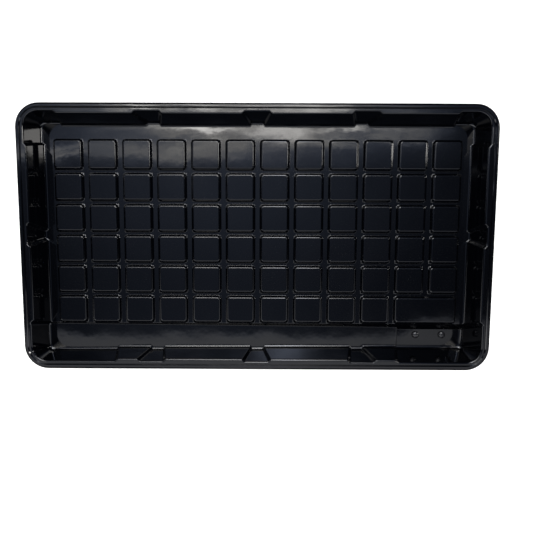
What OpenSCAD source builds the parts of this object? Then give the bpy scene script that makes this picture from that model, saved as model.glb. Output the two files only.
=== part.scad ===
// Flood-and-drain growing tray: one thermoformed sheet with a grid of raised
// pads, a sloping wall with stiffening recesses, a rolled rim, a gutter along
// one long side and a sump whose two fitting holes are closed by rubber
// grommets and push-in plugs.
// Millimetres. +X runs along the tray, +Y points away from the gutter, +Z up.
// The origin is the middle of the tray on the flat underside of its channels.

/* [Tray] */
// Overall length of the tray over its rolled rim
tray_l = 1196; // [1190:1:1206]
// Overall width of the tray over its rolled rim
tray_w = 670; // [666:1:676]
// Outside corner radius of the rim in plan
corner_r = 60; // [52:1:70]
// Thickness of the formed sheet
sheet = 3; // [2.5:0.1:3.5]
// Depth from the top of the rim to the channel floor
basin_depth = 62.5; // [56:0.5:70]
// Lean of the walls from vertical, in degrees
wall_lean = 9.9; // [8:0.1:12]

/* [Rim] */
// Width of the rim from its outer edge to the wall panels
rim_w = 28.5; // [27:0.5:30]
// Radius that rolls the outer edge of the rim over
roll_r = 6; // [5:0.5:7]
// Height of the rim's turned-down skirt
skirt_h = 18; // [14:1:24]
// Distance from the rim's outer edge to the centre of its groove
groove_in = 13; // [12:0.5:15]
// Radius of the groove's round bottom
groove_r = 1.6; // [1:0.1:2]

/* [Wall recesses] */
// Depth of a recess behind the wall panels
recess_depth = 6.5; // [5:0.5:8]
// Spacing of the recesses along the long walls
recess_pitch = 271; // [260:1:280]
// Width of a long-wall recess at the rim
recess_w = 68; // [60:1:74]
// Width of a short-wall recess at the rim
side_recess_w = 54; // [48:1:60]
// Place of the short-wall recess, from the middle towards the back
side_recess_y = 10; // [5:1:15]
// Spread of a recess side, in mm per mm of height
recess_spread = 0.24; // [0.2:0.01:0.26]
// Half length of the panelled stretch of the back wall
back_panel = 497; // [480:1:510]
// Half length of the panelled stretch of the gutter wall
front_panel = 361; // [345:1:375]
// Half length of the panelled stretch of the short walls
side_panel = 222; // [215:1:230]

/* [Pads] */
// Number of pad columns along the tray
cols = 12; // [12:1:12]
// Number of pad rows across the tray
rows = 6; // [6:1:6]
// Spacing of the columns
pitch_x = 90; // [88:0.5:91]
// Spacing of the rows
pitch_y = 81; // [79:0.5:82]
// Gap between the tops of neighbouring pads in a row
gap_x = 22; // [19:0.5:24]
// Gap between the tops of neighbouring pads in a column
gap_y = 16; // [14:0.5:18]
// Height of the pads above the channels
pad_h = 8; // [6:0.5:10]
// Sideways run of a pad's sloping side, in mm per mm of height
pad_slope = 0.64; // [0.5:0.01:0.75]
// Extra length of the row of pads next to the back wall
back_row_extra = 5.4; // [4:0.1:7]
// Level strip between the front pads and the gutter's edge
front_strip = 1; // [0.5:0.1:2]

/* [Gutter and sump] */
// Place of the edge where the deck drops into the gutter
gutter_edge_y = -227; // [-228:0.5:-225]
// Depth of the gutter below the deck at its shallow end
gutter_start_drop = 1.8; // [1:0.1:3]
// Depth of the gutter below the deck where it meets the sump
gutter_end_drop = 12.3; // [10:0.1:14]
// Sideways run of the gutter's sloping side, in mm per mm of depth
gutter_slope = 0.9; // [0.7:0.05:1]
// Start of the sump along the gutter
sump_start = 382; // [378:1:388]
// Depth of the sump below the end of the gutter
sump_drop = 8.2; // [6:0.1:10]
// Sideways run of the step down to the sump, in mm per mm of depth
step_slope = 0.3; // [0.2:0.05:0.5]

/* [Fittings] */
// Place of the inlet hole along the sump
inlet_x = 436; // [425:1:445]
// Spacing of the inlet and outlet holes
fitting_pitch = 72; // [66:1:76]
// Place of both holes across the tray
fitting_y = -261; // [-264:1:-258]
// Diameter of the holes in the sump floor
hole_d = 14; // [13:0.5:15]
// Diameter of a grommet's flanges
grommet_d = 18; // [17:0.5:20]
// Bore of a grommet, which is its fitting size
grommet_bore = 10; // [8:0.5:11]
// Thickness of each grommet flange
grommet_lip = 1.5; // [1.2:0.1:2]
// Diameter of a plug's domed head
plug_head_d = 19; // [18:0.5:21]
// Height of a plug's domed head
plug_dome_h = 5; // [4:0.2:6]
// Length of a plug's stem below its head
plug_stem_l = 14; // [12:0.5:18]
// Radial clearance of a plug's stem in its grommet
plug_fit = 0.05; // [0.02:0.01:0.1]

/* [Hidden] */
$fn = 64;

// Heights, counted from the underside of the channels
deck_z = sheet;
pad_z = deck_z + pad_h;
rim_z = deck_z + basin_depth;
sump_z = deck_z - gutter_end_drop - sump_drop;

// Half sizes of the basin between its wall panels, at the rim
half_l = tray_l / 2 - rim_w;
half_w = tray_w / 2 - rim_w;
lean = tan(wall_lean);
inner_corner_r = corner_r - rim_w + recess_depth;

// Outlet position, and how far shapes run past the part they cut
outlet_x = inlet_x + fitting_pitch;
over = 1;
long = 2 * tray_l;

// How much closer two sloping faces lie, measured level, for 1 mm of sheet
pad_shift = sqrt(1 + pow(pad_slope, 2));
gutter_shift = sqrt(1 + pow(gutter_slope, 2)) - gutter_slope;
step_shift = sqrt(1 + pow(step_slope, 2)) - step_slope;

// Fall of the gutter's floor, in mm per mm along the tray
gutter_fall = (gutter_end_drop - gutter_start_drop) / (sump_start + half_l);

// Low end of the pad rows, and the size of a pad's top
row_start = gutter_edge_y + pad_slope * pad_h + front_strip;
pad_l = pitch_x - gap_x;
pad_w = pitch_y - gap_y;

// Half size of the basin at height z, for a wall that is half wide at the rim
function wall_at(half, z) = half - (rim_z - z) * lean;

// Height of the gutter's sloping floor at x
function gutter_z(x) = deck_z - gutter_end_drop - (x - sump_start) * gutter_fall;

// Lay a profile drawn in X and Z out along the whole of Y, or one drawn in
// Y and Z along the whole of X
module run_y() {
    rotate([90, 0, 0]) linear_extrude(height = long, center = true) children();
}

module run_x() {
    rotate([90, 0, 90]) linear_extrude(height = long, center = true) children();
}

// A rectangle with round corners, centred on the origin
module round_rect(l, w, r) {
    square([l - 2 * r, w], center = true);
    square([l, w - 2 * r], center = true);
    for (x = [-1, 1], y = [-1, 1])
        translate([x * (l / 2 - r), y * (w / 2 - r)]) circle(r);
}

// Cross-section of the basin over its length: leaning walls, open below
module length_profile(half, g) {
    low = sump_z - 2 * sheet - over;
    polygon([
        [-wall_at(half, rim_z + over) - g, rim_z + over],
        [wall_at(half, rim_z + over) + g, rim_z + over],
        [wall_at(half, low) + g, low],
        [-wall_at(half, low) - g, low],
    ]);
}

// Cross-section of the basin over its width: leaning walls, the level deck
// and the trough beside the front wall, as deep as the sump
module width_profile(half, g) {
    edge = gutter_edge_y + g * gutter_shift;
    deck = deck_z - g;
    low = sump_z - g;
    polygon([
        [-wall_at(half, rim_z + over) - g, rim_z + over],
        [-wall_at(half, low) - g, low],
        [edge - (deck - low) * gutter_slope, low],
        [edge, deck],
        [wall_at(half, deck) + g, deck],
        [wall_at(half, rim_z + over) + g, rim_z + over],
    ]);
}

// What fills the trough up to the gutter's sloping floor, over its length. It
// ends in the step down to the sump
module gutter_bed(g) {
    low = sump_z - 2 * sheet;
    step = sump_start - g * step_shift;
    top = gutter_z(step) - g;
    polygon([
        [-tray_l, low],
        [step + (top - low) * step_slope, low],
        [step, top],
        [-tray_l, gutter_z(-tray_l) - g],
    ]);
}

// A recess in a wall, seen square on: wide at the rim, narrow at the floor
module recess_profile(place, width, g) {
    drop = rim_z - sump_z + 2 * sheet;
    top = width / 2 + g + over * recess_spread;
    foot = width / 2 + g - drop * recess_spread;
    polygon([
        [place - top, rim_z + over],
        [place + top, rim_z + over],
        [place + foot, rim_z - drop],
        [place - foot, rim_z - drop],
    ]);
}

// Everything beyond the panelled stretch of a wall, towards one corner
module end_profile(side, start, g) {
    drop = rim_z - sump_z + 2 * sheet;
    near = start - g;
    polygon([
        [side * (near - over * recess_spread), rim_z + over],
        [side * long / 2, rim_z + over],
        [side * long / 2, rim_z - drop],
        [side * (near + drop * recess_spread), rim_z - drop],
    ]);
}

// Recessed stretches of one long wall: side 1 is the back, -1 the gutter side
module long_wall_recesses(side, panel, g) {
    intersection() {
        translate([-long / 2, side > 0 ? 0 : -long, -long / 2]) cube(long);
        run_y() {
            for (i = [-1, 0, 1]) recess_profile(i * recess_pitch, recess_w, g);
            for (end = [-1, 1]) end_profile(end, panel, g);
        }
    }
}

// Recessed stretches of both short walls
module short_wall_recesses(g) {
    run_x() {
        recess_profile(side_recess_y, side_recess_w, g);
        translate([side_recess_y, 0]) for (end = [-1, 1]) end_profile(end, side_panel, g);
    }
}

// The space between the two long walls
module across(g) {
    run_x() width_profile(half_w, g);
    intersection() {
        run_x() width_profile(half_w + recess_depth, g);
        union() {
            long_wall_recesses(1, back_panel, g);
            long_wall_recesses(-1, front_panel, g);
        }
    }
}

// The space between the two short walls
module along(g) {
    run_y() length_profile(half_l, g);
    intersection() {
        run_y() length_profile(half_l + recess_depth, g);
        short_wall_recesses(g);
    }
}

// Teeth of the pad grid, drawn across one direction. Each span is the low and
// the high end of a pad's top
module pad_teeth(spans, g) {
    foot = deck_z - g - over;
    top = pad_z - g;
    low_run = pad_slope * (pad_z - foot) - g * pad_shift;
    top_run = pad_slope * g - g * pad_shift;
    for (s = spans)
        polygon([
            [s[0] - low_run, foot],
            [s[1] + low_run, foot],
            [s[1] + top_run, top],
            [s[0] - top_run, top],
        ]);
}

// Low and high end of the tops from pad column first to pad column last
function col_span(first, last) = [
    (first - cols / 2) * pitch_x - (pitch_x + pad_l) / 2,
    (last - cols / 2) * pitch_x - (pitch_x - pad_l) / 2,
];

// Low and high end of the tops in pad row r
function row_span(r) = [
    row_start + (r - 1) * pitch_y,
    row_start + (r - 1) * pitch_y + pad_w + (r == rows ? back_row_extra : 0),
];

// Raised pads. The front row's last two pads are joined into one above the sump
module pads(g) {
    intersection() {
        run_y() pad_teeth([for (c = [1:cols]) col_span(c, c)], g);
        run_x() pad_teeth([for (r = [2:rows]) row_span(r)], g);
    }
    intersection() {
        run_y() pad_teeth([for (c = [1:cols - 1]) col_span(c, c < cols - 1 ? c : cols)], g);
        run_x() pad_teeth([row_span(1)], g);
    }
}

// The whole hollow of the tray, grown outwards by g: 0 is the inside surface
// of the sheet and its thickness is the outside surface
module hollow(g) {
    difference() {
        intersection() {
            across(g);
            along(g);
            translate([0, 0, sump_z - 2 * sheet])
                linear_extrude(height = rim_z - sump_z + 3 * sheet)
                    round_rect(
                        2 * (half_l + recess_depth + g),
                        2 * (half_w + recess_depth + g),
                        inner_corner_r + g
                    );
        }
        pads(g);
        run_y() gutter_bed(g);
    }
}

// Cross-section of the rim's outer part. X is counted from the outer edge and
// Y from the top of the rim
module rim_profile() {
    flat = groove_in + 4 * groove_r;
    difference() {
        union() {
            translate([-flat, -sheet]) square([flat - roll_r, sheet]);
            intersection() {
                translate([-roll_r, -roll_r]) circle(roll_r);
                translate([-roll_r, -roll_r]) square(roll_r);
            }
            translate([-sheet, -skirt_h]) square([sheet, skirt_h - roll_r]);
            translate([-groove_in, -groove_r / 2]) circle(sheet + groove_r / 2);
        }
        translate([-groove_in, 0]) circle(groove_r);
        translate([-groove_in - 2 * sheet, 0]) square([4 * sheet, 2 * sheet]);
        intersection() {
            translate([-roll_r, -roll_r]) circle(roll_r - sheet);
            translate([-roll_r, -roll_r]) square(roll_r);
        }
    }
}

// The rim's outer part, carried round the tray: four sides and four corners
module rolled_rim() {
    side_l = tray_l - 2 * corner_r;
    side_w = tray_w - 2 * corner_r;
    for (s = [0, 1]) {
        rotate([0, 0, 180 * s]) translate([tray_l / 2, side_w / 2, rim_z])
            rotate([90, 0, 0]) linear_extrude(height = side_w) rim_profile();
        rotate([0, 0, 180 * s]) translate([-side_l / 2, tray_w / 2, rim_z])
            rotate([90, 0, 90]) linear_extrude(height = side_l) rim_profile();
        for (flip = [-1, 1])
            rotate([0, 0, 180 * s]) translate([side_l / 2, flip * side_w / 2, rim_z])
                rotate([0, 0, flip < 0 ? -90 : 0])
                    rotate_extrude(angle = 90) translate([corner_r, 0]) rim_profile();
    }
}

// The formed sheet: rim, walls, deck, gutter and sump in one piece
module tray_shell() {
    flange_in = groove_in + 3 * groove_r;
    color([0.02, 0.022, 0.03]) difference() {
        union() {
            rolled_rim();
            translate([0, 0, rim_z - sheet]) linear_extrude(height = sheet)
                round_rect(tray_l - 2 * flange_in, tray_w - 2 * flange_in, corner_r - flange_in);
            intersection() {
                hollow(sheet);
                translate([0, 0, rim_z - sheet / 2 - long / 2]) cube(long, center = true);
            }
        }
        hollow(0);
        for (x = [inlet_x, outlet_x])
            translate([x, fitting_y, sump_z - 2 * sheet]) cylinder(h = 3 * sheet, d = hole_d);
    }
}

// Rubber grommet pressed into a hole of the sump floor
module grommet(x) {
    bottom = sump_z - sheet - grommet_lip;
    color([0.03, 0.03, 0.03]) translate([x, fitting_y, bottom]) difference() {
        union() {
            cylinder(h = sheet + 2 * grommet_lip, d = hole_d);
            cylinder(h = grommet_lip, d = grommet_d);
            translate([0, 0, sheet + grommet_lip]) cylinder(h = grommet_lip, d = grommet_d);
        }
        translate([0, 0, -over]) cylinder(h = sheet + 2 * grommet_lip + 2 * over, d = grommet_bore);
    }
}

// Push-in plug: a domed head on a stem that fills the grommet's bore
module plug(x) {
    seat = sump_z + grommet_lip + plug_fit;
    head_r = plug_head_d / 2;
    dome_r = (pow(head_r, 2) + pow(plug_dome_h, 2)) / (2 * plug_dome_h);
    color([0.035, 0.037, 0.045]) translate([x, fitting_y, seat]) {
        intersection() {
            translate([0, 0, plug_dome_h - dome_r]) sphere(dome_r);
            cylinder(h = plug_dome_h + over, r = head_r + over);
        }
        translate([0, 0, -plug_stem_l]) cylinder(h = plug_stem_l + over, r = grommet_bore / 2 - plug_fit);
    }
}

module inlet_grommet() {
    grommet(inlet_x);
}

module outlet_grommet() {
    grommet(outlet_x);
}

module inlet_plug() {
    plug(inlet_x);
}

module outlet_plug() {
    plug(outlet_x);
}

tray_shell();
inlet_grommet();
outlet_grommet();
inlet_plug();
outlet_plug();
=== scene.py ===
"""Looks of the flood-and-drain growing tray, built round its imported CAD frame.

The tray is one thermoformed sheet, so its visible piece is one closed mesh with two skins, the inside
and the outside of the sheet. Each skin is a set of rings that runs round the rim and down the wall, and
a grid of lines that carries the deck, its pads, the gutter and the sump. Lengths in the shape sections
are millimetres, and they turn into metres when a mesh is made.
"""

import math
from collections import namedtuple

import bpy
import numpy as np
from mathutils import Matrix, Vector


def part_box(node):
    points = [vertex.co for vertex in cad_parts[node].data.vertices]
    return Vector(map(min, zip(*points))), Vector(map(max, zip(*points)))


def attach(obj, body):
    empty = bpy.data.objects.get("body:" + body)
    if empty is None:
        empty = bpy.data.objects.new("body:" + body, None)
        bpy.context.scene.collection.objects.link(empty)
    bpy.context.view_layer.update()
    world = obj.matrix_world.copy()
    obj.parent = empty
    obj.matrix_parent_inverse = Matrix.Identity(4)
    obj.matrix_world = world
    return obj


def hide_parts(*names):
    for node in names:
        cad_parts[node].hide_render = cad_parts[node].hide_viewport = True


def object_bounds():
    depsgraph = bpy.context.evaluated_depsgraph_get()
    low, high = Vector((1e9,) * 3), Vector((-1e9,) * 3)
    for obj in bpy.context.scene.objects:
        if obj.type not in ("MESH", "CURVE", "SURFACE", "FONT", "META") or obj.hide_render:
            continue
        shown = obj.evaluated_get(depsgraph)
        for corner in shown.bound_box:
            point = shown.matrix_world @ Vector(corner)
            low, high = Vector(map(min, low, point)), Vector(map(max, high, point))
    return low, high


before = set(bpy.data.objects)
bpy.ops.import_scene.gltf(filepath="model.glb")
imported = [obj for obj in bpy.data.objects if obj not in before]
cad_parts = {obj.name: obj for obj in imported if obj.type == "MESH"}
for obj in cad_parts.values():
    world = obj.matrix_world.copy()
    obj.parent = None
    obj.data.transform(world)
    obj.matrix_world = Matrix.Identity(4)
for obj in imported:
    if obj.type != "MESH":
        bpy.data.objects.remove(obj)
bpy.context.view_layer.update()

MM = 0.001


def box_mm(node):
    """Lowest and highest corner of a CAD node, in millimetres."""
    low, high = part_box(node)
    return np.array(low) / MM, np.array(high) / MM


# ---------------------------------------------------------------- driving sizes
tray_high = box_mm("tray_shell")[1]
HALF_LENGTH = tray_high[0]
HALF_WIDTH = tray_high[1]
RIM_Z = tray_high[2]
CORNER_R = 60.0
SHEET = 3.0

# Rim: roll, skirt, groove and the rounded edge where it turns down into the wall
RIM_W = 28.5
ROLL_R = 5.0
BEVEL_IN, BEVEL_R = 6.4, 1.3
BEVEL_TURN = math.radians(40)
SKIRT_H = 18.0
GROOVE_IN = 13.0
GROOVE_HALF_W = 2.3
GROOVE_SOFT = 0.05
GROOVE_DEPTH = 2.1
EDGE_R = 4.8

# Wall: its lean, the recesses between its panels and the fillet at its foot
LEAN = math.radians(9.9)
FOOT_R, FOOT_GROWTH = 6.0, 0.2
RECESS = 6.5
RECESS_EDGE_W = 7.0
RECESS_EDGE_RIM_W = 10.0
RECESS_SOFT = 0.3
RECESS_PITCH = 271.0
RECESS_RIM_HALF = 34.0
RECESS_FOOT_HALF = 17.0
SIDE_RECESS_RIM_HALF = 27.0
SIDE_RECESS_FOOT_HALF = 12.0
SIDE_RECESS_Y = 10.0
BACK_PANEL_RIM, BACK_PANEL_FOOT = 497.0, 512.0
FRONT_PANEL_RIM, FRONT_PANEL_FOOT = 361.0, 380.0
SIDE_PANEL_RIM, SIDE_PANEL_FOOT = 222.0, 237.0
CORNER_SHARPEN = 0.27
CORNER_LEAST_R = 4.0
CORNER_FLOOR_R = 8.0

# Deck, pads, gutter and sump
DECK_Z = SHEET
COLS, ROWS = 12, 6
PITCH_X, PITCH_Y = 90.0, 81.0
GAP_X, GAP_Y = 22.0, 16.0
PAD_H = 8.0
PAD_RUN = 5.1
PAD_CORNER_R = 10.3
PAD_TOP_R, PAD_FOOT_R = 4.4, 1.2
BACK_ROW_EXTRA = 5.4
FRONT_STRIP = 1.1
GUTTER_EDGE_Y = -227.0
GUTTER_START_DROP, GUTTER_END_DROP = 1.8, 12.3
GUTTER_SLOPE, GUTTER_SOFT = 0.9, 1.3
SUMP_START, SUMP_DROP = 382.0, 8.2
STEP_RUN, STEP_SOFT = 2.46, 0.35
HOLE_R = 7.0
HOLE_BLEND = 11.0

# Fittings: the grommet's wall, the gaps that keep pieces apart and the barbs on the plug's stem
GROMMET_WALL = 2.0
FIT_GAP = 0.05
BARB_H, BARB_DEPTH = 2.0, 0.8
DOME_EDGE_H = 0.3
AXIS_R = 0.001

# Sizes that follow from the ones above
PAD_L = PITCH_X - GAP_X
PAD_W = PITCH_Y - GAP_Y
ROW_START = GUTTER_EDGE_Y + PAD_RUN + FRONT_STRIP
HALF_IN_L = HALF_LENGTH - RIM_W
HALF_IN_W = HALF_WIDTH - RIM_W
INNER_R = CORNER_R - RIM_W + RECESS
GUTTER_FALL = (GUTTER_END_DROP - GUTTER_START_DROP) / (SUMP_START + HALF_IN_L)
FULL_DROP = GUTTER_END_DROP + SUMP_DROP
LONG_RECESSES = [-RECESS_PITCH, 0.0, RECESS_PITCH]

# The wall's face turns this far down from the rim, and as far back to the floor
WALL_TURN = math.pi / 2 - LEAN
WALL_TANGENT = math.tan(WALL_TURN / 2)

# Corners of the flat field inside the rings, clear of the fillet at the wall's foot, and the extra lines
# that keep its outermost cells short
FIELD_X = 546.0
FIELD_BACK = 286.0
FIELD_FRONT = -282.0
FIELD_NEAR_ENDS = [-541.0, 541.0]
FIELD_NEAR_BACK = [266.0, 276.0]

# Counts and gaps of the floor's lines and of the rings' points
EDGE_LINES = 5
PAD_TOP_STOPS = (0, 0.28, 0.6, 1)
MERGE_GAP = 0.8
LEAST_GAP = 0.25
ARC_STEPS = 10
GROOVE_STOPS = [-1, GROOVE_SOFT - 1, -GROOVE_SOFT, 0, GROOVE_SOFT, 1 - GROOVE_SOFT, 1]
INSIDE_STEPS = {
    "skirt": 3, "roll": 5, "bevel": 4, "groove": GROOVE_STOPS, "edge": 8, "wall": 5, "foot": 6,
}
OUTSIDE_STEPS = {
    "skirt": 2, "roll": 3, "bevel": 2, "groove": [-1, 0, 1], "edge": 4, "wall": 3, "foot": 5,
}

# How far a point is moved to find the shape's slope there
NUDGE = 1e-3


def fitting_place(node):
    """Middle of a fitting in plan."""
    low, high = box_mm(node)
    return (low[:2] + high[:2]) / 2


FITTINGS = [fitting_place("inlet_grommet"), fitting_place("outlet_grommet")]


# ---------------------------------------------------------------- shape functions
def ramp(t, soft):
    """0 to 1 as t goes from 0 to 1: straight in the middle, rounded over the share soft at each end."""
    t = np.clip(t, 0, 1)
    slope = 1 / (1 - soft)
    low = slope * t * t / (2 * soft)
    high = 1 - slope * (1 - t) ** 2 / (2 * soft)
    middle = slope * (t - soft / 2)
    return np.where(t < soft, low, np.where(t > 1 - soft, high, middle))


def bend(t, soft):
    """0 below 0 and t above it, with the corner rounded over the length soft on both sides."""
    return np.where(t > soft, t, np.where(t < -soft, 0, (t + soft) ** 2 / (4 * soft)))


def box_distance(x, y, half_x, half_y, r):
    """Distance from a rectangle with round corners, negative inside it."""
    over_x = np.abs(x) - half_x + r
    over_y = np.abs(y) - half_y + r
    outside = np.hypot(np.maximum(over_x, 0), np.maximum(over_y, 0))
    return outside + np.minimum(np.maximum(over_x, over_y), 0) - r


def edge_shift(run, rise):
    """How far a sloping edge moves sideways, per millimetre of sheet, from one skin to the other."""
    return math.tan(math.atan2(rise, run) / 2)


PAD_SHIFT = edge_shift(PAD_RUN, PAD_H)
GUTTER_SHIFT = edge_shift(GUTTER_SLOPE, 1)
STEP_SHIFT = edge_shift(STEP_RUN, SUMP_DROP)
RECESS_SHIFT = edge_shift(RECESS_EDGE_W, RECESS)


def gutter_depth(x, g):
    """Depth below the deck of the gutter's floor, which falls to the sump, and of the sump's."""
    bed = GUTTER_END_DROP + (np.minimum(x, SUMP_START) - SUMP_START) * GUTTER_FALL
    middle = SUMP_START + STEP_RUN / 2 - STEP_SHIFT * g
    return bed + SUMP_DROP * ramp(0.5 + (x - middle) * (1 - STEP_SOFT) / STEP_RUN, STEP_SOFT)


def plain_floor(x, y, g):
    """Height of the deck, the gutter and the sump, without pads, on the skin g below the inside."""
    reach = (GUTTER_EDGE_Y + GUTTER_SHIFT * g - y) / GUTTER_SLOPE
    depth = gutter_depth(x, g)
    return DECK_Z - g - bend(reach, GUTTER_SOFT) + bend(reach - depth, GUTTER_SOFT)


def foot_radius(base):
    """Radius of the fillet at the wall's foot, wider where the floor is deeper."""
    return FOOT_R + FOOT_GROWTH * (DECK_Z - base)


def round_slope(out, run, rise, top_r, foot_r):
    """Height of a slope whose sharp top edge is at out = 0, with a round top edge and a round foot."""
    turn = math.atan2(rise, run)
    top, foot = top_r * math.tan(turn / 2), foot_r * math.tan(turn / 2)
    from_top = np.clip(out + top, 0, top_r * math.sin(turn))
    from_foot = np.clip(run + foot - out, 0, foot_r * math.sin(turn))
    top_arc = rise - top_r + np.sqrt(top_r**2 - from_top**2)
    foot_arc = foot_r - np.sqrt(foot_r**2 - from_foot**2)
    slope = rise * (1 - out / run)
    height = np.where(out < top_r * math.sin(turn) - top, top_arc, slope)
    return np.where(out > run + foot - foot_r * math.sin(turn), foot_arc, height)


def pad_rise(x, y, g):
    """Height of the pads above the deck. The front row's last two pads are one."""
    col = np.clip(np.floor(x / PITCH_X + COLS / 2), 0, COLS - 1)
    row = np.clip(np.floor((y - ROW_START + GAP_Y / 2) / PITCH_Y), 0, ROWS - 1)
    joined = (row == 0) & (col >= COLS - 2)
    back = row == ROWS - 1
    middle_x = np.where(joined, (COLS / 2 - 1) * PITCH_X, (col - (COLS - 1) / 2) * PITCH_X)
    half_x = np.where(joined, (PITCH_X + PAD_L) / 2, PAD_L / 2) - PAD_SHIFT * g
    half_y = np.where(back, PAD_W + BACK_ROW_EXTRA, PAD_W) / 2
    middle_y = ROW_START + row * PITCH_Y + half_y
    out = box_distance(x - middle_x, y - middle_y, half_x, half_y - PAD_SHIFT * g, PAD_CORNER_R - PAD_RUN)
    return round_slope(out, PAD_RUN, PAD_H, PAD_TOP_R, PAD_FOOT_R)


def floor_height(x, y, g):
    """Height of the whole floor on one skin of the sheet."""
    return plain_floor(x, y, g) + pad_rise(x, y, g)


# ---------------------------------------------------------------- grid lines
def pad_lines(edges):
    """Lines across the sloping side at each edge of the pads' tops, where its curves start and end, and
    one where the round corners start. Edges are (place, way the side faces)."""
    turn = math.atan2(PAD_H, PAD_RUN)
    top, foot = PAD_TOP_R * math.tan(turn / 2), PAD_FOOT_R * math.tan(turn / 2)
    offsets = [PAD_RUN - PAD_CORNER_R - 0.2]
    offsets += [PAD_TOP_R * math.sin(turn * share) - top for share in PAD_TOP_STOPS]
    offsets += [PAD_RUN + foot - PAD_FOOT_R * math.sin(turn * share) for share in (1, 0)]
    return [(place + way * d, -way * PAD_SHIFT) for place, way in edges for d in offsets]


def edge_lines(places, half_w, shift, count=EDGE_LINES):
    """Lines across a sloping edge at each place, as (place, shift per millimetre of sheet). Places are
    (place, way the edge faces)."""
    offsets = np.linspace(-half_w, half_w, count)
    return [(place + offset, side * shift) for place, side in places for offset in offsets]


def plain_lines(places):
    """Lines that stand at the same place on both skins."""
    return [(place, 0.0) for place in places]


def merge_lines(groups, gap):
    """Sorted lines, where a line of an earlier group wins over a later one closer than gap."""
    kept = []
    for group in groups:
        for place, shift in group:
            if all(abs(place - other[0]) >= gap for other in kept):
                kept.append((place, shift))
    return np.array(sorted(kept))


def grow_sides(middles, half):
    """The low and high edge round each middle, with the way each edge faces."""
    return [(m + side * half, side) for m in middles for side in (-1, 1)]


# Lines round a fitting hole, counted from its middle
HOLE_LINES = [-HOLE_BLEND, -HOLE_R, -HOLE_R / 2, 0, HOLE_R / 2, HOLE_R, HOLE_BLEND]


def column_lines():
    """Every line of the floor grid that runs across the tray, from one end to the other."""
    pads = [(c - (COLS - 1) / 2) * PITCH_X for c in range(COLS)]
    fitting_x = [place[0] + d for place in FITTINGS for d in HOLE_LINES]
    step = [(SUMP_START + STEP_RUN / 2, -1)]
    panel_ends = grow_sides([0], FRONT_PANEL_FOOT) + grow_sides([0], BACK_PANEL_FOOT)
    groups = [
        plain_lines([-FIELD_X, FIELD_X]),
        plain_lines(fitting_x),
        pad_lines(grow_sides(pads, PAD_L / 2)),
        edge_lines(grow_sides(LONG_RECESSES, RECESS_FOOT_HALF), RECESS_EDGE_W / 2, RECESS_SHIFT),
        edge_lines([(place, -side) for place, side in panel_ends], RECESS_EDGE_W / 2, RECESS_SHIFT),
        edge_lines(step, STEP_RUN / 2 / (1 - STEP_SOFT), STEP_SHIFT),
        plain_lines(FIELD_NEAR_ENDS),
    ]
    return merge_lines(groups, MERGE_GAP)


def row_lines():
    """Every line of the floor grid that runs along the tray, from the gutter to the back."""
    tops = [ROW_START + r * PITCH_Y for r in range(ROWS)]
    ends = [t + PAD_W + (BACK_ROW_EXTRA if r == ROWS - 1 else 0) for r, t in enumerate(tops)]
    pad_edges = [(t, -1) for t in tops] + [(e, 1) for e in ends]
    fitting_y = [FITTINGS[0][1] + d for d in HOLE_LINES]
    drop_foot = GUTTER_EDGE_Y - GUTTER_SLOPE * FULL_DROP
    drop = [(GUTTER_EDGE_Y, 1), (drop_foot, 1)]
    drop_middle = [((GUTTER_EDGE_Y + drop_foot) / 2, 1)]
    recess = grow_sides([SIDE_RECESS_Y], SIDE_RECESS_FOOT_HALF)
    panel_ends = [(SIDE_RECESS_Y + side * SIDE_PANEL_FOOT, -side) for side in (-1, 1)]
    groups = [
        plain_lines([FIELD_FRONT, FIELD_BACK]),
        plain_lines(fitting_y),
        pad_lines(pad_edges),
        edge_lines(drop, GUTTER_SLOPE * GUTTER_SOFT, GUTTER_SHIFT),
        edge_lines(drop_middle, GUTTER_SLOPE * GUTTER_SOFT * 2, GUTTER_SHIFT, 2),
        edge_lines(recess, RECESS_EDGE_W / 2, RECESS_SHIFT),
        edge_lines(panel_ends, RECESS_EDGE_W / 2, RECESS_SHIFT),
        plain_lines(FIELD_NEAR_BACK),
    ]
    return merge_lines(groups, MERGE_GAP)


COLUMN_LINES = column_lines()
ROW_LINES = row_lines()


def lines_at(lines, g):
    """Places of a set of lines on the skin g below the inside, in order and at least LEAST_GAP apart."""
    steps = LEAST_GAP * np.arange(len(lines))
    return np.maximum.accumulate(lines[:, 0] + lines[:, 1] * g - steps) + steps


def rows_at(x, g):
    """Places of the row lines where they cross x: they're drawn for the sump, and beside the gutter the
    ones near its foot follow it."""
    lines = lines_at(ROW_LINES, g)
    edge = GUTTER_EDGE_Y + GUTTER_SHIFT * g
    soft = GUTTER_SLOPE * GUTTER_SOFT
    full, run = GUTTER_SLOPE * FULL_DROP, GUTTER_SLOPE * gutter_depth(x, g)
    # Where the gutter is shallow, this keeps the lines at its slope's top and foot apart
    inner = min(soft, 0.4 * run)
    drawn = [FIELD_FRONT, edge - full - soft, edge - full + soft, edge - soft, edge + soft]
    shown = [FIELD_FRONT, edge - run - soft, edge - run + inner, edge - inner, edge + soft]
    return np.where(lines < edge + soft, np.interp(lines, drawn, shown), lines)


def round_holes(x, y):
    """Moves the square of lines round each fitting out to a circle, and fades to nothing further out."""
    for place in FITTINGS:
        dx, dy = x - place[0], y - place[1]
        square = np.maximum(np.abs(dx), np.abs(dy))
        circle = np.maximum(np.hypot(dx, dy), 1e-9)
        pull = np.clip((HOLE_BLEND - square) / (HOLE_BLEND - HOLE_R), 0, 1)
        scale = 1 + pull * (np.where(square > 1e-6, square / circle, 1) - 1)
        x, y = place[0] + dx * scale, place[1] + dy * scale
    return x, y


# ---------------------------------------------------------------- rings round the rim and wall
Recesses = namedtuple("Recesses", ["places", "foot_half", "rim_half", "end_foot", "end_rim"])


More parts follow.
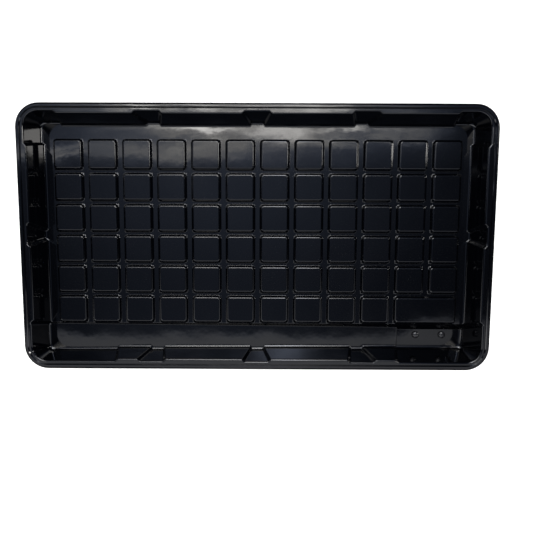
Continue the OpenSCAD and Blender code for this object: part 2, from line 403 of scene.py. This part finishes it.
def long_wall(end_foot, end_rim):
    """A long wall's recesses, and where its panels end at the foot and at the rim."""
    return Recesses(LONG_RECESSES, RECESS_FOOT_HALF, RECESS_RIM_HALF, end_foot, end_rim)


BACK_RECESSES = long_wall(BACK_PANEL_FOOT, BACK_PANEL_RIM)
FRONT_RECESSES = long_wall(FRONT_PANEL_FOOT, FRONT_PANEL_RIM)
SIDE_RECESSES = Recesses(
    [SIDE_RECESS_Y], SIDE_RECESS_FOOT_HALF, SIDE_RECESS_RIM_HALF, SIDE_PANEL_FOOT, SIDE_PANEL_RIM
)


def middle_of(recesses):
    """Middle of a wall's recesses, which its panels' ends are counted from."""
    return recesses.places[len(recesses.places) // 2]


def recess_share(along, recesses, g):
    """1 in a recess or beyond the panels, 0 on a panel, for places along the foot of a wall."""
    beyond = np.abs(along - middle_of(recesses)) - recesses.end_foot
    share = ramp(0.5 + beyond / RECESS_EDGE_W, RECESS_SOFT)
    for place in recesses.places:
        gap = np.abs(along - place) - recesses.foot_half - RECESS_SHIFT * g
        share = np.maximum(share, ramp(0.5 - gap / RECESS_EDGE_W, RECESS_SOFT))
    return share


def rim_places(along, recesses, field_ends, arc_ends):
    """Where a line at the wall's foot stands at the rim: recess sides spread out on the way up."""
    foot = list(field_ends)
    rim = list(arc_ends)
    middle = middle_of(recesses)
    for side in (-1, 1):
        for edge in (-1, 1):
            half_foot, half_rim = edge * RECESS_EDGE_W / 2, edge * RECESS_EDGE_RIM_W / 2
            foot.append(middle + side * (recesses.end_foot + half_foot))
            rim.append(middle + side * (recesses.end_rim + half_rim))
            foot += [place + side * (recesses.foot_half + half_foot) for place in recesses.places]
            rim += [place + side * (recesses.rim_half + half_rim) for place in recesses.places]
    order = np.argsort(foot)
    return np.interp(along, np.array(foot)[order], np.array(rim)[order])


class Side:
    """One straight stretch of the rings: its stations at the wall's foot and at the rim."""

    def __init__(self, axis, sign, lines, recesses, g, slide):
        """The wall stands on the side sign of axis 0 (x) or 1 (y), and its stations are the floor's lines
        that end at it, in the order of a turn anticlockwise."""
        self.axis = axis
        self.sign = sign
        straight = (HALF_WIDTH if axis == 0 else HALF_LENGTH) - CORNER_R
        field_ends = [FIELD_FRONT, FIELD_BACK] if axis == 0 else [-FIELD_X, FIELD_X]
        backwards = (axis == 0) == (sign < 0)
        foot = lines[1:-1] + (-slide if backwards else slide)
        self.foot = foot[::-1] if backwards else foot
        self.rim = rim_places(self.foot, recesses, field_ends, [-straight, straight])
        self.recess = RECESS * recess_share(self.foot, recesses, g)
        self.base = self.floor_beside(g)

    def floor_beside(self, g):
        """Height of the floor at the border of the field along this side, back on the inside skin."""
        if self.axis == 0:
            return plain_floor(np.full(len(self.foot), self.sign * FIELD_X), self.foot, g) + g
        border = FIELD_BACK if self.sign > 0 else FIELD_FRONT
        return plain_floor(self.foot, np.full(len(self.foot), border), g) + g


def make_sides(g, slide):
    """The four straight stretches, anticlockwise from the right-hand one, with their stations moved by
    slide that way round."""
    columns = lines_at(COLUMN_LINES, g)
    return [
        Side(0, 1, rows_at(FIELD_X, g), SIDE_RECESSES, g, slide),
        Side(1, 1, columns, BACK_RECESSES, g, slide),
        Side(0, -1, rows_at(-FIELD_X, g), SIDE_RECESSES, g, slide),
        Side(1, -1, columns, FRONT_RECESSES, g, slide),
    ]


def ring(sides, g, slide, inset_of, height_of):
    """One ring of points. inset_of and height_of give, from the recess depth and the foot's height, how
    far inside the panel line at the rim the ring runs, and how high."""
    points = []
    for k, side in enumerate(sides):
        inset = inset_of(side.recess, side.base)
        z = height_of(side.recess, side.base)
        up = np.clip((z - side.base) / (RIM_Z - side.base), 0, 1)
        along = side.foot + (side.rim - side.foot) * up
        half = HALF_IN_L if side.axis == 0 else HALF_IN_W
        out = side.sign * (half + side.recess - inset)
        plan = (out, along) if side.axis == 0 else (along, out)
        points.append(np.stack([plan[0], plan[1], z + 0 * along], 1))
        points.append(corner_arc(k, g, slide, inset_of, height_of))
    return np.concatenate(points)


def corner_arc(k, g, slide, inset_of, height_of):
    """The round corner that follows straight stretch k. It gets tighter down the wall, and opens again a
    little on the fillet at the wall's foot."""
    start = k * math.pi / 2
    sign_x = 1 if k in (0, 3) else -1
    sign_y = 1 if k in (0, 1) else -1
    field_y = FIELD_BACK if sign_y > 0 else FIELD_FRONT
    base = plain_floor(np.array([sign_x * FIELD_X]), np.array([field_y]), g) + g
    deep = np.array([RECESS])
    inset, z = inset_of(deep, base)[0], height_of(deep, base)[0]
    sharpen = CORNER_SHARPEN * max(RIM_Z - z, 0) if inset > -EDGE_R else 0.0
    settle = np.clip(1 - (z - base[0]) / FOOT_R, 0, 1)
    r = max(INNER_R - inset - sharpen, CORNER_LEAST_R) + CORNER_FLOOR_R * settle**2
    centre_x = sign_x * (HALF_IN_L + RECESS - inset - r)
    centre_y = sign_y * (HALF_IN_W + RECESS - inset - r)
    angle = start + np.linspace(0, math.pi / 2, ARC_STEPS + 1) + slide
    x, y = centre_x + r * np.cos(angle), centre_y + r * np.sin(angle)
    return np.stack([x, y, np.full(len(angle), z)], 1)


def rim_row(q, z):
    """The rule of a ring that runs q inside the rim's outer edge, at the height z all round."""
    return (lambda recess, base: q - RIM_W + recess), (lambda recess, base: z + 0 * base)


def roll_rows(g, steps, climb):
    """The skirt, the roll at the rim's outer edge and the bevel that turns in to the rim's flat."""
    roll_end = math.pi / 2 - BEVEL_TURN
    spread = ROLL_R - BEVEL_R
    bevel = (BEVEL_IN - ROLL_R + spread * math.cos(roll_end)) / math.cos(BEVEL_TURN)
    roll_z = RIM_Z - BEVEL_R - spread * math.sin(roll_end) - bevel * math.sin(BEVEL_TURN)
    rows = []
    for z in np.linspace(RIM_Z - SKIRT_H, roll_z, steps["skirt"], endpoint=False):
        rows.append(rim_row(g, z + climb))
    for a in np.linspace(0, roll_end, steps["roll"]) + climb:
        rows.append(rim_row(ROLL_R - (ROLL_R - g) * math.cos(a), roll_z + (ROLL_R - g) * math.sin(a)))
    for a in np.linspace(roll_end, math.pi / 2, steps["bevel"]) + climb:
        z = RIM_Z - BEVEL_R + (BEVEL_R - g) * math.sin(a)
        rows.append(rim_row(BEVEL_IN - (BEVEL_R - g) * math.cos(a), z))
    return rows


def groove_rows(g, steps, climb):
    """The V groove in the rim's flat."""
    half = GROOVE_HALF_W + g / 4
    rows = []
    for t in steps["groove"]:
        out = (t + climb) * half
        dip = GROOVE_DEPTH * float(ramp(1 - abs(out) / half, GROOVE_SOFT))
        rows.append(rim_row(GROOVE_IN + out, RIM_Z - g - dip))
    return rows


def edge_point(a, g):
    """Inset and height on the rounded edge between the rim and the wall, after a turn of a."""
    inset = -EDGE_R * WALL_TANGENT + (EDGE_R - g) * math.sin(a)
    return inset, RIM_Z - EDGE_R + (EDGE_R - g) * math.cos(a)


def edge_row(a, g):
    """The rule of a ring on the rounded edge."""
    inset, z = edge_point(a, g)
    return (lambda recess, base: inset + 0 * base), (lambda recess, base: z + 0 * base)


def foot_point(a, g, base):
    """Inset and height on the fillet between the wall and the floor, with a turn of a still to go."""
    r = foot_radius(base)
    middle = (RIM_Z - base) * math.tan(LEAN) + r * WALL_TANGENT
    return middle - (r + g) * math.sin(a), base + r - (r + g) * math.cos(a)


def foot_row(a, g):
    """The rule of a ring on the fillet."""
    return (
        lambda recess, base: foot_point(a, g, base)[0],
        lambda recess, base: foot_point(a, g, base)[1],
    )


def wall_row(t, g):
    """The rule of a ring on the wall's face, between its rounded edge at t = 0 and its fillet at 1."""
    top = edge_point(WALL_TURN, g)

    def between(k, base):
        return top[k] + (foot_point(WALL_TURN, g, base)[k] - top[k]) * t

    return (lambda recess, base: between(0, base)), (lambda recess, base: between(1, base))


def ring_rows(g, steps, climb):
    """The rings' cross-section from the skirt's lower edge to the floor, as (inset, height) functions.
    steps holds how many points each stretch has, and climb moves every point a little that way."""
    rows = roll_rows(g, steps, climb) + groove_rows(g, steps, climb)
    rows += [edge_row(a + climb, g) for a in np.linspace(0, WALL_TURN, steps["edge"])]
    rows += [wall_row(t + climb, g) for t in np.linspace(0, 1, steps["wall"] + 2)[1:-1]]
    rows += [foot_row(a - climb, g) for a in np.linspace(WALL_TURN, 0, steps["foot"])]
    return rows


# ---------------------------------------------------------------- the two skins
def make_rings(g, steps, slide=0.0, climb=0.0):
    """All the rings of one skin, as an array of rings x stations x 3."""
    sides = make_sides(g, slide)
    return np.array([ring(sides, g, slide, *row) for row in ring_rows(g, steps, climb)])


def unit(vectors):
    """Vectors scaled to the length 1."""
    return vectors / np.maximum(np.linalg.norm(vectors, axis=-1, keepdims=True), 1e-12)


def make_skin(g, steps):
    """Rings (rings x stations x 3) and floor grid (columns x rows x 3) of one skin, each with the exact
    normals of the shape that they sample. Normals point up out of the basin."""
    rings = make_rings(g, steps)
    along = make_rings(g, steps, slide=NUDGE) - rings
    inward = make_rings(g, steps, climb=NUDGE) - rings
    columns = lines_at(COLUMN_LINES, g)
    x = np.repeat(columns[:, None], len(ROW_LINES), 1)
    y = np.array([rows_at(column, g) for column in columns])
    x, y = round_holes(x, y)
    slope_x = floor_height(x - NUDGE, y, g) - floor_height(x + NUDGE, y, g)
    slope_y = floor_height(x, y - NUDGE, g) - floor_height(x, y + NUDGE, g)
    normals = np.stack([slope_x, slope_y, np.full(x.shape, 2 * NUDGE)], 2)
    grid = np.stack([x, y, floor_height(x, y, g)], 2)
    return rings, grid, unit(np.cross(along, inward)), unit(normals)


def field_border(columns, rows):
    """Grid indices (column, row) round the floor's border, one for each station of the rings."""
    right = [(columns - 1, j) for j in range(1, rows - 1)]
    back = [(i, rows - 1) for i in range(columns - 2, 0, -1)]
    left = [(0, j) for j in range(rows - 2, 0, -1)]
    front = [(i, 0) for i in range(1, columns - 1)]
    corners = [(columns - 1, rows - 1), (0, rows - 1), (0, 0), (columns - 1, 0)]
    border = []
    for stretch, corner in zip((right, back, left, front), corners):
        border += stretch + [corner] * (ARC_STEPS + 1)
    return border


def in_hole(grid, i, j):
    """True if the grid's cell lies inside a fitting hole."""
    middle = grid[i : i + 2, j : j + 2, :2].reshape(4, 2).mean(0)
    return any(np.max(np.abs(middle - place)) < HOLE_R * 0.9 for place in FITTINGS)


def skin_faces(rings, grid, start, flip):
    """Faces of one skin whose first vertex is number start, and the loops of vertices round its holes."""
    ring_count, stations = rings.shape[:2]
    columns, rows = grid.shape[:2]
    grid_start = start + ring_count * stations
    faces, open_edges = [], []

    def add(face):
        face = list(dict.fromkeys(face))
        if len(face) > 2:
            faces.append(face[::-1] if flip else face)

    for r in range(ring_count - 1):
        for s in range(stations):
            t = (s + 1) % stations
            low, high = start + r * stations, start + (r + 1) * stations
            add([low + s, low + t, high + t, high + s])
    border = [grid_start + i * rows + j for i, j in field_border(columns, rows)]
    last = start + (ring_count - 1) * stations
    for s in range(stations):
        t = (s + 1) % stations
        add([last + s, last + t, border[t], border[s]])
    holes = {(i, j) for i in range(columns - 1) for j in range(rows - 1) if in_hole(grid, i, j)}
    for i in range(columns - 1):
        for j in range(rows - 1):
            corner = grid_start + i * rows + j
            quad = [corner, corner + rows, corner + rows + 1, corner + 1]
            if (i, j) not in holes:
                add(quad)
                continue
            for k, step in enumerate(((0, -1), (1, 0), (0, 1), (-1, 0))):
                if (i + step[0], j + step[1]) not in holes:
                    open_edges.append((quad[k], quad[(k + 1) % 4]))
    return faces, open_edges


def new_object(name, vertices, faces, body, material):
    """A smooth mesh object from points in millimetres, on a CAD body."""
    mesh = bpy.data.meshes.new(name)
    mesh.from_pydata((np.asarray(vertices, float) * MM).tolist(), [], faces)
    mesh.validate()
    mesh.shade_smooth()
    mesh.materials.append(material)
    piece = bpy.data.objects.new(name, mesh)
    bpy.context.scene.collection.objects.link(piece)
    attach(piece, body)
    return piece


def set_normals(mesh, normals, inside_count):
    """Gives a two-skin mesh its exact normals. Faces that join the skins stay flat."""
    corner_normals = []
    for face in mesh.polygons:
        first = [v < inside_count for v in face.vertices]
        joins_skins = any(first) and not all(first)
        corner_normals += [tuple(face.normal) if joins_skins else normals[v] for v in face.vertices]
    mesh.normals_split_custom_set(corner_normals)


def point_list(rings, grid):
    """Rings and grid as one list of points."""
    return np.concatenate([rings.reshape(-1, 3), grid.reshape(-1, 3)])


def build_tray(material):
    """The formed sheet as one closed mesh."""
    in_rings, in_grid, in_ring_normals, in_grid_normals = make_skin(0.0, INSIDE_STEPS)
    out_rings, out_grid, out_ring_normals, out_grid_normals = make_skin(SHEET, OUTSIDE_STEPS)
    inside = point_list(in_rings, in_grid)
    outside = point_list(out_rings, out_grid)
    up = point_list(in_ring_normals, in_grid_normals)
    down = -point_list(out_ring_normals, out_grid_normals)
    inner_faces, inner_open = skin_faces(in_rings, in_grid, 0, False)
    outer_faces, outer_open = skin_faces(out_rings, out_grid, len(inside), True)
    stations = in_rings.shape[1]
    neighbours = [(s, (s + 1) % stations) for s in range(stations)]
    skirt_edge = [[s, len(inside) + s, len(inside) + t, t] for s, t in neighbours]
    hole_walls = [[a, b, d, c] for (a, b), (c, d) in zip(inner_open, outer_open)]
    tray = new_object(
        "tray_sheet",
        np.concatenate([inside, outside]),
        inner_faces + outer_faces + skirt_edge + hole_walls,
        "tray",
        material,
    )
    set_normals(tray.data, np.concatenate([up, down]).tolist(), len(inside))
    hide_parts("tray_shell")
    return tray


# ---------------------------------------------------------------- fittings
def rounded_profile(corners, steps):
    """A profile of (radius, height) points from corners given as (radius, height, rounding)."""
    points = []
    count = len(corners)
    for k in range(count):
        r, z, rounding = corners[k]
        here = np.array([r, z])
        if rounding == 0:
            points.append(here)
            continue
        before = np.array(corners[k - 1][:2]) - here
        after = np.array(corners[(k + 1) % count][:2]) - here
        before, after = before / np.linalg.norm(before), after / np.linalg.norm(after)
        start, end = here + before * rounding, here + after * rounding
        for t in np.linspace(0, 1, steps):
            points.append((1 - t) ** 2 * start + 2 * t * (1 - t) * here + t * t * end)
    return points


def revolve(profile, place, segments=64):
    """Points and faces of a closed profile turned about an upright axis at place."""
    angles = np.linspace(0, 2 * math.pi, segments, endpoint=False)
    vertices = [
        (place[0] + r * math.cos(a), place[1] + r * math.sin(a), z) for r, z in profile for a in angles
    ]
    faces = []
    for k in range(len(profile)):
        low, high = k * segments, ((k + 1) % len(profile)) * segments
        for s in range(segments):
            t = (s + 1) % segments
            faces.append([low + s, low + t, high + t, high + s])
    return vertices, faces


def build_grommet(name, node, material):
    """A rubber top-hat grommet: two lips, a neck in the sheet and a bore."""
    low, high = box_mm(node)
    place = (low + high) / 2
    lip_r = (high[0] - low[0]) / 2
    lip = (high[2] - low[2] - SHEET) / 2
    bore_r = HOLE_R - GROMMET_WALL
    neck_r = HOLE_R - FIT_GAP
    corners = [
        (bore_r, low[2], 0.4),
        (lip_r, low[2], 0.5),
        (lip_r, low[2] + lip, 0.6),
        (neck_r, low[2] + lip, 0.0),
        (neck_r, high[2] - lip, 0.0),
        (lip_r, high[2] - lip, 0.5),
        (lip_r - 1.2, high[2], 0.8),
        (bore_r, high[2], 0.4),
    ]
    vertices, faces = revolve(rounded_profile(corners, 5), place)
    piece = new_object(name, vertices, faces, "tray", material)
    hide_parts(node)


def build_plug(name, node, material):
    """A push-in plug: a smooth domed head that covers its grommet, on a barbed stem."""
    low, high = box_mm(node)
    place = (low + high) / 2
    grommet_low, grommet_high = box_mm(node.replace("plug", "grommet"))
    seat = grommet_high[2] + FIT_GAP
    head_r = (high[0] - low[0]) / 2
    dome_z = seat + DOME_EDGE_H
    dome_h = high[2] - dome_z
    stem_r = HOLE_R - GROMMET_WALL - FIT_GAP
    z = low[2] + 0.5
    profile = [(AXIS_R, low[2]), (stem_r - 2 * BARB_DEPTH, low[2]), (stem_r - 1.0, z)]
    while z + BARB_H < grommet_low[2] - 0.6:
        tip, tip_end = z + 0.7 * BARB_H, z + 0.85 * BARB_H
        z += BARB_H
        profile += [(stem_r, tip), (stem_r, tip_end), (stem_r - BARB_DEPTH, z)]
    profile += [(stem_r, z + 0.5), (stem_r, seat), (head_r - 0.4, seat), (head_r, dome_z)]
    for a in np.linspace(0, math.pi / 2, 16)[1:]:
        profile.append((max(head_r * math.cos(a), AXIS_R), dome_z + dome_h * math.sin(a)))
    vertices, faces = revolve(profile, place)
    piece = new_object(name, vertices, faces, node, material)
    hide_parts(node)


# ---------------------------------------------------------------- materials
class Nodes:
    """A short way to build a node tree."""

    def __init__(self, tree):
        self.tree = tree
        tree.nodes.clear()

    def add(self, kind, inputs=None, **settings):
        """A node with its settings, and its inputs as numbers or as other nodes' outputs."""
        node = self.tree.nodes.new(kind)
        for key, value in settings.items():
            setattr(node, key, value)
        for key, value in (inputs or {}).items():
            self.put(node, key, value)
        return node

    def put(self, node, key, value):
        """Sets one input to a number or links an output to it."""
        if isinstance(value, bpy.types.NodeSocket):
            self.tree.links.new(value, node.inputs[key])
        else:
            node.inputs[key].default_value = value

    def math(self, operation, *values, clamp=False):
        """A maths node's output."""
        node = self.add("ShaderNodeMath", dict(enumerate(values)), operation=operation, use_clamp=clamp)
        return node.outputs[0]

    def times(self, first, *others):
        """The product of two or more values."""
        for other in others:
            first = self.math("MULTIPLY", first, other)
        return first

    def plus(self, first, *others):
        """The sum of two or more values."""
        for other in others:
            first = self.math("ADD", first, other)
        return first

    def bell(self, value, middle, width):
        """1 at middle, falling to nothing a few widths away."""
        offset = self.math("DIVIDE", self.math("SUBTRACT", value, middle), width)
        return self.math("POWER", math.e, self.times(self.times(offset, offset), -1.0))

    def noise(self, vector, scale, detail=3.0, roughness=0.5, distortion=0.0):
        """A noise texture's grey output."""
        inputs = {"Vector": vector, "Scale": scale, "Detail": detail, "Roughness": roughness}
        inputs["Distortion"] = distortion
        return self.add("ShaderNodeTexNoise", inputs).outputs["Fac"]

    def map(self, value, low, high, to_low=0.0, to_high=1.0):
        """value taken smoothly from low..high to to_low..to_high, and held at the ends."""
        inputs = {0: value, 1: low, 2: high, 3: to_low, 4: to_high}
        return self.add("ShaderNodeMapRange", inputs, interpolation_type="SMOOTHSTEP").outputs[0]

    def mix(self, share, a, b):
        """A colour between a and b."""
        node = self.add("ShaderNodeMix", data_type="RGBA")
        self.put(node, "Factor", share)
        for index, value in ((6, a), (7, b)):
            if isinstance(value, bpy.types.NodeSocket):
                self.tree.links.new(value, node.inputs[index])
            else:
                node.inputs[index].default_value = value
        return node.outputs[2]

    def surface(self, inputs):
        """Ends a material's tree with a principled shader."""
        shader = self.add("ShaderNodeBsdfPrincipled", inputs)
        self.add("ShaderNodeOutputMaterial", {"Surface": shader.outputs[0]})


def new_material(name):
    """A material with an empty node tree."""
    material = bpy.data.materials.new(name)
    material.use_nodes = True
    return material, Nodes(material.node_tree)


def tray_material():
    """Gloss black sheet: faint ripples from forming, hairline scratches, smudges and a little dust."""
    material, n = new_material("gloss_black_sheet")
    place = n.add("ShaderNodeTexCoord").outputs["Object"]
    swell = n.noise(place, 9.0, 1.0)
    ripples = n.noise(place, 55.0, 1.0)
    drawn_out = {"Vector": place, "Scale": (1.0, 14.0, 1.0), "Rotation": (0, 0, 0.5)}
    scratch = n.noise(n.add("ShaderNodeMapping", drawn_out).outputs[0], 60.0, 6.0, 0.75, 0.4)
    hairlines = n.map(scratch, 0.62, 0.7)
    dust = n.map(n.noise(place, 7.0, 8.0, 0.65), 0.45, 0.8)
    specks = n.map(n.noise(place, 700.0, 1.0), 0.72, 0.78)
    dusty = n.times(dust, specks)
    smudge = n.noise(place, 5.0, 4.0, 0.6)
    rough = n.plus(n.map(smudge, 0.3, 0.75, 0.04, 0.09), n.times(hairlines, 0.05))
    rough = n.math("ADD", rough, n.times(dusty, 0.4), clamp=True)
    colour = n.mix(dusty, (0.0004, 0.0005, 0.0009, 1), (0.03, 0.03, 0.03, 1))
    height = n.plus(n.times(swell, 12.0), ripples)
    bump = n.add("ShaderNodeBump", {"Height": height, "Strength": 1.0, "Distance": 0.00005})
    n.surface({"Base Color": colour, "Roughness": rough, "IOR": 1.5, "Normal": bump.outputs[0]})
    return material


def rubber_material():
    """Matt black rubber with a fine moulded grain."""
    material, n = new_material("matt_black_rubber")
    place = n.add("ShaderNodeTexCoord").outputs["Object"]
    grain = n.noise(place, 2500.0, 3.0)
    blotch = n.noise(place, 220.0, 4.0)
    colour = n.mix(blotch, (0.008, 0.008, 0.008, 1), (0.018, 0.018, 0.017, 1))
    bump = n.add("ShaderNodeBump", {"Height": grain, "Strength": 0.3, "Distance": 0.0001})
    rough = n.map(blotch, 0.3, 0.7, 0.42, 0.6)
    n.surface({"Base Color": colour, "Roughness": rough, "Normal": bump.outputs[0]})
    return material


def plug_material():
    """Gloss black moulding with handling marks."""
    material, n = new_material("gloss_black_moulding")
    place = n.add("ShaderNodeTexCoord").outputs["Object"]
    marks = n.noise(place, 400.0, 5.0, 0.7)
    grain = n.noise(place, 1800.0, 2.0)
    colour = n.mix(marks, (0.004, 0.0042, 0.005, 1), (0.009, 0.009, 0.011, 1))
    bump = n.add("ShaderNodeBump", {"Height": grain, "Strength": 0.15, "Distance": 0.00006})
    rough = n.map(marks, 0.35, 0.7, 0.14, 0.28)
    n.surface({"Base Color": colour, "Roughness": rough, "Normal": bump.outputs[0]})
    return material


def floor_material():
    """Plain pale studio floor."""
    material, n = new_material("pale_floor")
    place = n.add("ShaderNodeTexCoord").outputs["Object"]
    tone = n.noise(place, 2.0, 3.0)
    colour = n.mix(tone, (0.90, 0.90, 0.90, 1), (0.93, 0.93, 0.93, 1))
    n.surface({"Base Color": colour, "Roughness": 0.9})
    return material


# ---------------------------------------------------------------- stage
def build_floor():
    """A large plain floor under the tray's lowest point."""
    half = 12.0
    clearance = 0.0005
    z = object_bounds()[0][2] - clearance
    corners = [(-half, -half, z), (half, -half, z), (half, half, z), (-half, half, z)]
    mesh = bpy.data.meshes.new("floor")
    mesh.from_pydata(corners, [], [[0, 1, 2, 3]])
    mesh.materials.append(floor_material())
    floor = bpy.data.objects.new("floor", mesh)
    bpy.context.scene.collection.objects.link(floor)
    floor.visible_glossy = False


class Sky:
    """What gloss surfaces see: a dim blue ceiling overhead, a bright ragged bank of clouds towards the
    back, a grey wall towards the front and a window towards the right. Places are slopes from straight up,
    sx to the right and sy to the back. Each part's method gives its strength at every place."""

    def __init__(self, n):
        least_rise = 0.04
        way = n.add("ShaderNodeTexCoord").outputs["Generated"]
        parts = n.add("ShaderNodeSeparateXYZ", {"Vector": way})
        self.n = n
        self.rise = parts.outputs[2]
        up = n.math("MAXIMUM", self.rise, least_rise)
        self.sx = n.math("DIVIDE", parts.outputs[0], up)
        self.sy = n.math("DIVIDE", parts.outputs[1], up)
        cloud_place = self.stretched(1.0, 2.2)
        self.wisps = n.math("SUBTRACT", n.noise(cloud_place, 5.0, 5.0, 0.6, 0.8), 0.5)
        self.billow = n.math("SUBTRACT", n.noise(cloud_place, 2.2, 2.0, 0.5, 0.3), 0.5)
        self.fine = n.math("SUBTRACT", n.noise(self.stretched(1.0, 12.0), 6.0, 4.0, 0.6, 0.5), 0.5)
        taller_right = n.map(self.sx, 0.33, 0.4, 0.0, -0.035)
        self.wall_edge = n.plus(self.sy, n.times(self.billow, 0.02), taller_right)

    def stretched(self, scale_x, scale_y):
        """Sky places scaled, so that a noise there is drawn out sideways."""
        inputs = {"X": self.n.times(self.sx, scale_x), "Y": self.n.times(self.sy, scale_y)}
        return self.n.add("ShaderNodeCombineXYZ", inputs).outputs[0]

    def ceiling(self):
        """Dim light overhead, stronger to the back."""
        n = self.n
        return n.times(n.bell(self.sx, -0.12, 0.46), n.map(self.sy, -0.15, 0.16, 0.24, 0.5))

    def haze(self):
        """A soft glow over the same stretch of sky as the bank of clouds."""
        n, sy = self.n, self.sy
        return n.times(n.bell(self.sx, -0.10, 0.36), n.map(sy, 0.14, 0.24, 0.0, 1.2), n.map(sy, 1.2, 0.8))

    def bank(self):
        """A bright ragged bank of clouds, crossed by thin bands, and an even bright sky below it."""
        n, sx, sy = self.n, self.sx, self.sy
        left_drop = n.map(sx, -0.12, -0.3, 0.0, -0.04)
        edge = n.plus(sy, n.times(self.wisps, 0.07), n.times(self.billow, 0.05), left_drop)
        patches = n.map(self.fine, -0.05, 0.12, 1.2, 17.0)
        clouds = n.times(n.map(edge, 0.205, 0.262), patches, n.map(sy, 0.45, 0.65, 1.0, 0.25))
        low_sky = n.times(n.map(sy, 0.8, 0.95), n.map(sy, 1.8, 1.5), 17.0)
        light = n.plus(n.times(clouds, n.map(sy, 1.1, 0.9)), low_sky)
        light = n.times(light, n.map(sx, -0.55, -0.25, 0.2, 1.0))
        light = n.times(light, n.map(n.plus(sx, n.times(self.billow, 0.2)), 0.14, 0.44, 1.0, 0.03))
        bands = n.map(n.noise(self.stretched(4.0, 60.0), 1.0, 2.0), 0.42, 0.6, 0.1, 1.0)
        banded = n.times(bands, n.map(sy, 0.26, 0.28))
        return n.times(light, n.plus(n.map(sy, 0.26, 0.28, 1.0, 0.0), banded))

    def streak(self):
        """A bright streak in the bank, a little right of the middle."""
        n, sy = self.n, self.sy
        return n.times(n.bell(self.sx, 0.07, 0.07), n.map(sy, 0.4, 0.55), n.map(sy, 1.0, 0.75), 12.0)

    def wall(self):
        """The grey wall, brightest half way up and a little dimmer at the right."""
        n, sy = self.n, self.sy
        tone = n.plus(n.map(sy, -0.32, -0.42, 0.85, 2.4), n.map(sy, -0.55, -0.72, 0.0, -2.25))
        to_the_right = n.map(self.sx, 0.1, 0.6, 1.0, 0.75)
        return n.times(n.map(self.wall_edge, -0.245, -0.266), tone, n.map(sy, -1.5, -1.0), to_the_right)

    def window(self):
        """The window, brighter in its lower part."""
        n, sx, sy = self.n, self.sx, self.sy
        across = n.times(n.map(sx, 1.0, 1.08), n.map(sx, 1.36, 1.26))
        shape = n.times(across, n.map(sy, 0.2, 0.26), n.map(sy, 0.5, 0.45))
        return n.times(shape, n.map(sy, 0.255, 0.275, 3.0, 34.0))

    def wisp(self):
        """A thin broken cloud along the top of the bank, at the left."""
        n = self.n
        place = n.plus(self.sy, n.times(self.fine, 0.05), n.times(self.billow, 0.03))
        gaps = n.map(self.fine, -0.1, 0.1, 0.3, 1.0)
        return n.times(n.bell(place, 0.203, 0.016), gaps, n.map(self.sx, -0.02, -0.14), 2.6)

    def light(self):
        """All the parts together, fading near the horizon."""
        n = self.n
        clouds = n.plus(self.ceiling(), self.haze(), self.bank(), self.streak())
        total = n.plus(clouds, self.wall(), self.window(), self.wisp())
        return n.times(total, n.map(self.rise, 0.03, 0.3, 0.1, 1.0))

    def tint(self, light):
        """Blue where the light is dim, and warm in bright clouds and on the upper wall."""
        n, sy = self.n, self.sy
        warm_share = n.plus(n.map(sy, 0.52, 0.62, 1.0, 0.2), n.map(sy, 0.8, 0.9, 0.0, 0.8))
        bright = n.times(n.map(light, 0.3, 3.0), warm_share)
        front = n.times(n.map(self.wall_edge, -0.24, -0.27, 0.0, 0.7), n.map(sy, -0.62, -0.5))
        blue, warm = (0.58, 0.70, 1.0, 1), (1.0, 0.98, 0.95, 1)
        return n.mix(n.math("MAXIMUM", bright, front), blue, warm)


def build_world():
    """Even white light for matt surfaces such as the floor, and the sky for gloss surfaces."""
    world = bpy.data.worlds.new("studio")
    bpy.context.scene.world = world
    world.use_nodes = True
    n = Nodes(world.node_tree)
    sky = Sky(n)
    light = sky.light()
    seen_in_gloss = n.add("ShaderNodeBackground", {"Color": sky.tint(light), "Strength": light})
    even = n.add("ShaderNodeBackground", {"Color": (1, 1, 1, 1), "Strength": 2.2})
    is_glossy = n.add("ShaderNodeLightPath").outputs["Is Glossy Ray"]
    mixed = n.add("ShaderNodeMixShader", {0: is_glossy, 1: even.outputs[0], 2: seen_in_gloss.outputs[0]})
    n.add("ShaderNodeOutputWorld", {"Surface": mixed.outputs[0]})


def build_camera():
    """A short lens a little over a metre above the rim, tipped slightly towards the gutter side."""
    lens, sensor = 27.0, 36.0
    right, back, above_rim = 0.0276, 0.0145, 1.0039
    tilt, pan, roll = 0.0813, -0.0029, -0.0043
    turns = [Matrix.Rotation(a, 3, axis) for a, axis in ((roll, "Z"), (tilt, "X"), (pan, "Y"))]
    world_to_camera = turns[0] @ turns[1] @ turns[2]
    data = bpy.data.cameras.new("camera")
    data.lens, data.sensor_width = lens, sensor
    camera = bpy.data.objects.new("camera", data)
    place = Vector((right, back, RIM_Z * MM + above_rim))
    camera.matrix_world = Matrix.Translation(place) @ world_to_camera.transposed().to_4x4()
    bpy.context.scene.collection.objects.link(camera)
    bpy.context.scene.camera = camera


# ---------------------------------------------------------------- build
build_tray(tray_material())
rubber = rubber_material()
moulding = plug_material()
for position in ("inlet", "outlet"):
    build_grommet(position + "_rubber_grommet", position + "_grommet", rubber)
    build_plug(position + "_domed_plug", position + "_plug", moulding)
build_floor()
build_world()
build_camera()
bpy.context.scene.view_settings.view_transform = "Standard"
